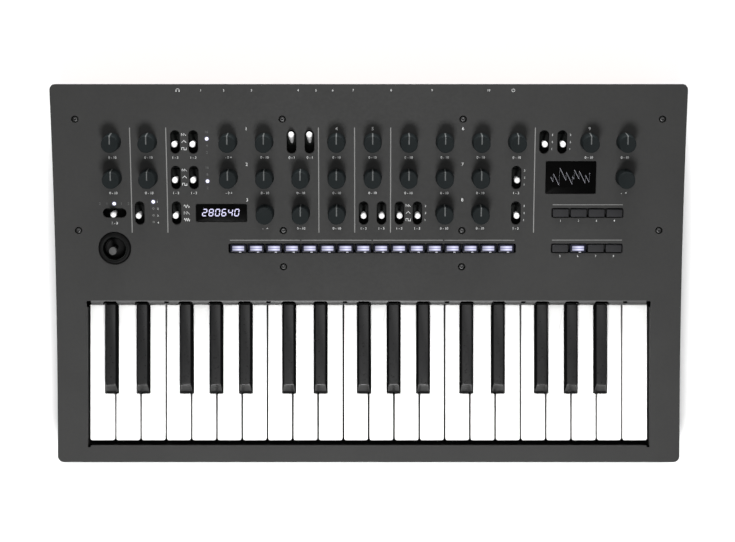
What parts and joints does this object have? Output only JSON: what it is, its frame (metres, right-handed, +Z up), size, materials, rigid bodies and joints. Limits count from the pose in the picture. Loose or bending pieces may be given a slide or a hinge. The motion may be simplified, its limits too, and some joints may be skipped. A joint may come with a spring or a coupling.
{
  "type": "synthesizer",
  "caption": "Compact desktop keyboard synthesizer with a curved dark panel of knobs, bat levers and lit buttons, slim keys, a joystick and a wooden back.",
  "frame": {"origin": "on the desk surface under the feet, at the middle of the instrument's footprint", "axes": "+X to the player's right, +Y away from the player towards the sockets, +Z up"},
  "size_m": [0.5, 0.3, 0.085],
  "materials": {
    "case_plastic": "fine moulded grain",
    "panel_paint": "fine bead-blasted satin",
    "board_wood": "oiled",
    "white_plastic": "polished",
    "black_key_plastic": "satin",
    "circuit_board": "solder mask",
    "knob_rubber": "soft-touch",
    "lever_tip": "polished",
    "lens": "polished",
    "button_rubber": "satin",
    "stick_plastic": "satin"
  },
  "bodies": {
    "case": {"bottom_case": "case_plastic", "top_panel": "panel_paint", "back_board": "board_wood", "socket_board": "case_plastic", "key_frame": "case_plastic", "control_board": "circuit_board", "screen_lens": "lens"},
    "power_button": {"power_button": "case_plastic"},
    "white_keys_cegb": {"white_keys_cegb": "white_plastic"},
    "white_keys_dfa": {"white_keys_dfa": "white_plastic"},
    "black_keys": {"black_keys": "black_key_plastic"},
    "step_button_pad": {"step_button_pad": "button_rubber"},
    "function_button_pad": {"function_button_pad": "button_rubber"},
    "joystick_gimbal": {"joystick_gimbal": "stick_plastic"},
    "joystick_stick": {"joystick_stick": "stick_plastic"},
    "knob_master_volume": {"knob_master_volume": "knob_rubber"},
    "knob_tempo": {"knob_tempo": "knob_rubber"},
    "knob_glide": {"knob_glide": "knob_rubber"},
    "knob_voice_depth": {"knob_voice_depth": "knob_rubber"},
    "knob_osc1_pitch": {"knob_osc1_pitch": "knob_rubber"},
    "knob_osc1_shape": {"knob_osc1_shape": "knob_rubber"},
    "knob_osc2_pitch": {"knob_osc2_pitch": "knob_rubber"},
    "knob_osc2_shape": {"knob_osc2_shape": "knob_rubber"},
    "knob_cross_mod": {"knob_cross_mod": "knob_rubber"},
    "knob_engine_type": {"knob_engine_type": "knob_rubber"},
    "knob_engine_shape": {"knob_engine_shape": "knob_rubber"},
    "knob_mix_osc1": {"knob_mix_osc1": "knob_rubber"},
    "knob_mix_osc2": {"knob_mix_osc2": "knob_rubber"},
    "knob_mix_engine": {"knob_mix_engine": "knob_rubber"},
    "knob_filter_cutoff": {"knob_filter_cutoff": "knob_rubber"},
    "knob_filter_resonance": {"knob_filter_resonance": "knob_rubber"},
    "knob_amp_attack": {"knob_amp_attack": "knob_rubber"},
    "knob_amp_decay": {"knob_amp_decay": "knob_rubber"},
    "knob_amp_sustain": {"knob_amp_sustain": "knob_rubber"},
    "knob_amp_release": {"knob_amp_release": "knob_rubber"},
    "knob_env_attack": {"knob_env_attack": "knob_rubber"},
    "knob_env_decay": {"knob_env_decay": "knob_rubber"},
    "knob_env_amount": {"knob_env_amount": "knob_rubber"},
    "knob_lfo_rate": {"knob_lfo_rate": "knob_rubber"},
    "knob_lfo_amount": {"knob_lfo_amount": "knob_rubber"},
    "knob_effect_time": {"knob_effect_time": "knob_rubber"},
    "knob_effect_depth": {"knob_effect_depth": "knob_rubber"},
    "knob_program_select": {"knob_program_select": "knob_rubber"},
    "lever_keyboard_octave": {"lever_keyboard_octave": "lever_tip"},
    "lever_voice_mode": {"lever_voice_mode": "lever_tip"},
    "lever_osc1_wave": {"lever_osc1_wave": "lever_tip"},
    "lever_osc1_octave": {"lever_osc1_octave": "lever_tip"},
    "lever_osc2_wave": {"lever_osc2_wave": "lever_tip"},
    "lever_osc2_octave": {"lever_osc2_octave": "lever_tip"},
    "lever_engine_select": {"lever_engine_select": "lever_tip"},
    "lever_osc_sync": {"lever_osc_sync": "lever_tip"},
    "lever_ring_mod": {"lever_ring_mod": "lever_tip"},
    "lever_filter_drive": {"lever_filter_drive": "lever_tip"},
    "lever_filter_key_track": {"lever_filter_key_track": "lever_tip"},
    "lever_lfo_wave": {"lever_lfo_wave": "lever_tip"},
    "lever_lfo_mode": {"lever_lfo_mode": "lever_tip"},
    "lever_env_target": {"lever_env_target": "lever_tip"},
    "lever_lfo_target": {"lever_lfo_target": "lever_tip"},
    "lever_effect_type": {"lever_effect_type": "lever_tip"},
    "lever_effect_switch": {"lever_effect_switch": "lever_tip"}
  },
  "joints": [
    {"name": "white_keys_cegb_press", "type": "hinge", "parent": "case", "child": "white_keys_cegb", "pos_m": [0, 0.001, 0.0315], "axis": [1, 0, 0], "range_deg": [0, 3.4], "stiffness_Nm_per_rad": 8, "springref_deg": -5.73},
    {"name": "white_keys_dfa_press", "type": "hinge", "parent": "case", "child": "white_keys_dfa", "pos_m": [0, 0.001, 0.0265], "axis": [1, 0, 0], "range_deg": [0, 3.4], "stiffness_Nm_per_rad": 8, "springref_deg": -5.73},
    {"name": "black_keys_press", "type": "hinge", "parent": "case", "child": "black_keys", "pos_m": [0, 0.001, 0.0215], "axis": [1, 0, 0], "range_deg": [0, 3.4], "stiffness_Nm_per_rad": 8, "springref_deg": -5.73},
    {"name": "joystick_pitch", "type": "hinge", "parent": "case", "child": "joystick_gimbal", "pos_m": [-0.2024, 0.02343, 0.04363], "axis": [1, 0, 0], "range_deg": [-22, 22], "stiffness_Nm_per_rad": 0.08},
    {"name": "joystick_roll", "type": "hinge", "parent": "joystick_gimbal", "child": "joystick_stick", "pos_m": [-0.2024, 0.02343, 0.04363], "axis": [0, 0.9799, 0.1994], "range_deg": [-22, 22], "stiffness_Nm_per_rad": 0.08},
    {"name": "step_button_press", "type": "slide", "parent": "case", "child": "step_button_pad", "axis": [0, 0.1994, -0.9799], "range_m": [0, 0.0012], "stiffness_N_per_m": 3000, "springref_m": -0.0006},
    {"name": "function_button_press", "type": "slide", "parent": "case", "child": "function_button_pad", "axis": [0, 0.1994, -0.9799], "range_m": [0, 0.0012], "stiffness_N_per_m": 3000, "springref_m": -0.0006},
    {"name": "power_button_press", "type": "slide", "parent": "case", "child": "power_button", "axis": [0, -1, 0], "range_m": [0, 0.002], "stiffness_N_per_m": 1500, "springref_m": -0.0008},
    {"name": "keyboard_octave_flip", "type": "hinge", "parent": "case", "child": "lever_keyboard_octave", "pos_m": [-0.2018, 0.05171, 0.04734], "axis": [0, 0.9799, 0.1994], "range_deg": [-27, 27], "stiffness_Nm_per_rad": 0.05},
    {"name": "voice_mode_flip", "type": "hinge", "parent": "case", "child": "lever_voice_mode", "pos_m": [-0.18186, 0.05073, 0.04714], "axis": [1, 0, 0], "range_deg": [-27, 27], "stiffness_Nm_per_rad": 0.05},
    {"name": "osc1_wave_flip", "type": "hinge", "parent": "case", "child": "lever_osc1_wave", "pos_m": [-0.15261, 0.10649, 0.05848], "axis": [1, 0, 0], "range_deg": [-27, 27]},
    {"name": "osc1_octave_flip", "type": "hinge", "parent": "case", "child": "lever_osc1_octave", "pos_m": [-0.13839, 0.10649, 0.05848], "axis": [1, 0, 0], "range_deg": [-27, 27], "stiffness_Nm_per_rad": 0.05},
    {"name": "osc2_wave_flip", "type": "hinge", "parent": "case", "child": "lever_osc2_wave", "pos_m": [-0.15261, 0.07861, 0.05281], "axis": [1, 0, 0], "range_deg": [-27, 27]},
    {"name": "osc2_octave_flip", "type": "hinge", "parent": "case", "child": "lever_osc2_octave", "pos_m": [-0.13839, 0.07861, 0.05281], "axis": [1, 0, 0], "range_deg": [-27, 27], "stiffness_Nm_per_rad": 0.05},
    {"name": "engine_select_flip", "type": "hinge", "parent": "case", "child": "lever_engine_select", "pos_m": [-0.15261, 0.05073, 0.04714], "axis": [1, 0, 0], "range_deg": [-27, 27]},
    {"name": "osc_sync_flip", "type": "hinge", "parent": "case", "child": "lever_osc_sync", "pos_m": [-0.06091, 0.10649, 0.05848], "axis": [1, 0, 0], "range_deg": [0, 54]},
    {"name": "ring_mod_flip", "type": "hinge", "parent": "case", "child": "lever_ring_mod", "pos_m": [-0.04669, 0.10649, 0.05848], "axis": [1, 0, 0], "range_deg": [0, 54]},
    {"name": "filter_drive_flip", "type": "hinge", "parent": "case", "child": "lever_filter_drive", "pos_m": [-0.00401, 0.05073, 0.04714], "axis": [1, 0, 0], "range_deg": [-27, 27]},
    {"name": "filter_key_track_flip", "type": "hinge", "parent": "case", "child": "lever_filter_key_track", "pos_m": [0.01021, 0.05073, 0.04714], "axis": [1, 0, 0], "range_deg": [-27, 27]},
    {"name": "lfo_wave_flip", "type": "hinge", "parent": "case", "child": "lever_lfo_wave", "pos_m": [0.02444, 0.05073, 0.04714], "axis": [1, 0, 0], "range_deg": [-27, 27]},
    {"name": "lfo_mode_flip", "type": "hinge", "parent": "case", "child": "lever_lfo_mode", "pos_m": [0.03866, 0.05073, 0.04714], "axis": [1, 0, 0], "range_deg": [-27, 27]},
    {"name": "env_target_flip", "type": "hinge", "parent": "case", "child": "lever_env_target", "pos_m": [0.1169, 0.07861, 0.05281], "axis": [1, 0, 0], "range_deg": [-27, 27]},
    {"name": "lfo_target_flip", "type": "hinge", "parent": "case", "child": "lever_lfo_target", "pos_m": [0.1169, 0.05073, 0.04714], "axis": [1, 0, 0], "range_deg": [-27, 27]},
    {"name": "effect_type_flip", "type": "hinge", "parent": "case", "child": "lever_effect_type", "pos_m": [0.13824, 0.10649, 0.05848], "axis": [1, 0, 0], "range_deg": [-27, 27]},
    {"name": "effect_switch_flip", "type": "hinge", "parent": "case", "child": "lever_effect_switch", "pos_m": [0.15246, 0.10649, 0.05848], "axis": [1, 0, 0], "range_deg": [-27, 27], "stiffness_Nm_per_rad": 0.05},
    {"name": "master_volume_turn", "type": "hinge", "parent": "case", "child": "knob_master_volume", "pos_m": [-0.2024, 0.10567, 0.0675], "axis": [0, -0.1994, 0.9799], "range_deg": [-150, 150]},
    {"name": "tempo_turn", "type": "hinge", "parent": "case", "child": "knob_tempo", "pos_m": [-0.2024, 0.07779, 0.06183], "axis": [0, -0.1994, 0.9799], "range_deg": [-150, 150]},
    {"name": "glide_turn", "type": "hinge", "parent": "case", "child": "knob_glide", "pos_m": [-0.17395, 0.10567, 0.0675], "axis": [0, -0.1994, 0.9799], "range_deg": [-150, 150]},
    {"name": "voice_depth_turn", "type": "hinge", "parent": "case", "child": "knob_voice_depth", "pos_m": [-0.17395, 0.07779, 0.06183], "axis": [0, -0.1994, 0.9799], "range_deg": [-150, 150]},
    {"name": "osc1_pitch_turn", "type": "hinge", "parent": "case", "child": "knob_osc1_pitch", "pos_m": [-0.1107, 0.10567, 0.0675], "axis": [0, -0.1994, 0.9799], "range_deg": [-150, 150]},
    {"name": "osc1_shape_turn", "type": "hinge", "parent": "case", "child": "knob_osc1_shape", "pos_m": [-0.08225, 0.10567, 0.0675], "axis": [0, -0.1994, 0.9799], "range_deg": [-150, 150]},
    {"name": "osc2_pitch_turn", "type": "hinge", "parent": "case", "child": "knob_osc2_pitch", "pos_m": [-0.1107, 0.07779, 0.06183], "axis": [0, -0.1994, 0.9799], "range_deg": [-150, 150]},
    {"name": "osc2_shape_turn", "type": "hinge", "parent": "case", "child": "knob_osc2_shape", "pos_m": [-0.08225, 0.07779, 0.06183], "axis": [0, -0.1994, 0.9799], "range_deg": [-150, 150]},
    {"name": "cross_mod_turn", "type": "hinge", "parent": "case", "child": "knob_cross_mod", "pos_m": [-0.0538, 0.07779, 0.06183], "axis": [0, -0.1994, 0.9799], "range_deg": [-150, 150]},
    {"name": "engine_type_turn", "type": "hinge", "parent": "case", "child": "knob_engine_type", "pos_m": [-0.08225, 0.04991, 0.05616], "axis": [0, -0.1994, 0.9799], "continuous": true},
    {"name": "engine_shape_turn", "type": "hinge", "parent": "case", "child": "knob_engine_shape", "pos_m": [-0.0538, 0.04991, 0.05616], "axis": [0, -0.1994, 0.9799], "range_deg": [-150, 150]},
    {"name": "mix_osc1_turn", "type": "hinge", "parent": "case", "child": "knob_mix_osc1", "pos_m": [-0.02535, 0.10567, 0.0675], "axis": [0, -0.1994, 0.9799], "range_deg": [-150, 150]},
    {"name": "mix_osc2_turn", "type": "hinge", "parent": "case", "child": "knob_mix_osc2", "pos_m": [-0.02535, 0.07779, 0.06183], "axis": [0, -0.1994, 0.9799], "range_deg": [-150, 150]},
    {"name": "mix_engine_turn", "type": "hinge", "parent": "case", "child": "knob_mix_engine", "pos_m": [-0.02535, 0.04991, 0.05616], "axis": [0, -0.1994, 0.9799], "range_deg": [-150, 150]},
    {"name": "filter_cutoff_turn", "type": "hinge", "parent": "case", "child": "knob_filter_cutoff", "pos_m": [0.0031, 0.10567, 0.0675], "axis": [0, -0.1994, 0.9799], "range_deg": [-150, 150]},
    {"name": "filter_resonance_turn", "type": "hinge", "parent": "case", "child": "knob_filter_resonance", "pos_m": [0.0031, 0.07779, 0.06183], "axis": [0, -0.1994, 0.9799], "range_deg": [-150, 150]},
    {"name": "amp_attack_turn", "type": "hinge", "parent": "case", "child": "knob_amp_attack", "pos_m": [0.03155, 0.10567, 0.0675], "axis": [0, -0.1994, 0.9799], "range_deg": [-150, 150]},
    {"name": "amp_decay_turn", "type": "hinge", "parent": "case", "child": "knob_amp_decay", "pos_m": [0.06, 0.10567, 0.0675], "axis": [0, -0.1994, 0.9799], "range_deg": [-150, 150]},
    {"name": "amp_sustain_turn", "type": "hinge", "parent": "case", "child": "knob_amp_sustain", "pos_m": [0.08845, 0.10567, 0.0675], "axis": [0, -0.1994, 0.9799], "range_deg": [-150, 150]},
    {"name": "amp_release_turn", "type": "hinge", "parent": "case", "child": "knob_amp_release", "pos_m": [0.1169, 0.10567, 0.0675], "axis": [0, -0.1994, 0.9799], "range_deg": [-150, 150]},
    {"name": "env_attack_turn", "type": "hinge", "parent": "case", "child": "knob_env_attack", "pos_m": [0.03155, 0.07779, 0.06183], "axis": [0, -0.1994, 0.9799], "range_deg": [-150, 150]},
    {"name": "env_decay_turn", "type": "hinge", "parent": "case", "child": "knob_env_decay", "pos_m": [0.06, 0.07779, 0.06183], "axis": [0, -0.1994, 0.9799], "range_deg": [-150, 150]},
    {"name": "env_amount_turn", "type": "hinge", "parent": "case", "child": "knob_env_amount", "pos_m": [0.08845, 0.07779, 0.06183], "axis": [0, -0.1994, 0.9799], "range_deg": [-150, 150]},
    {"name": "lfo_rate_turn", "type": "hinge", "parent": "case", "child": "knob_lfo_rate", "pos_m": [0.06, 0.04991, 0.05616], "axis": [0, -0.1994, 0.9799], "range_deg": [-150, 150]},
    {"name": "lfo_amount_turn", "type": "hinge", "parent": "case", "child": "knob_lfo_amount", "pos_m": [0.08845, 0.04991, 0.05616], "axis": [0, -0.1994, 0.9799], "range_deg": [-150, 150]},
    {"name": "effect_time_turn", "type": "hinge", "parent": "case", "child": "knob_effect_time", "pos_m": [0.1738, 0.10567, 0.0675], "axis": [0, -0.1994, 0.9799], "range_deg": [-150, 150]},
    {"name": "effect_depth_turn", "type": "hinge", "parent": "case", "child": "knob_effect_depth", "pos_m": [0.20225, 0.10567, 0.0675], "axis": [0, -0.1994, 0.9799], "range_deg": [-150, 150]},
    {"name": "program_select_turn", "type": "hinge", "parent": "case", "child": "knob_program_select", "pos_m": [0.20225, 0.07779, 0.06183], "axis": [0, -0.1994, 0.9799], "continuous": true}
  ]
}
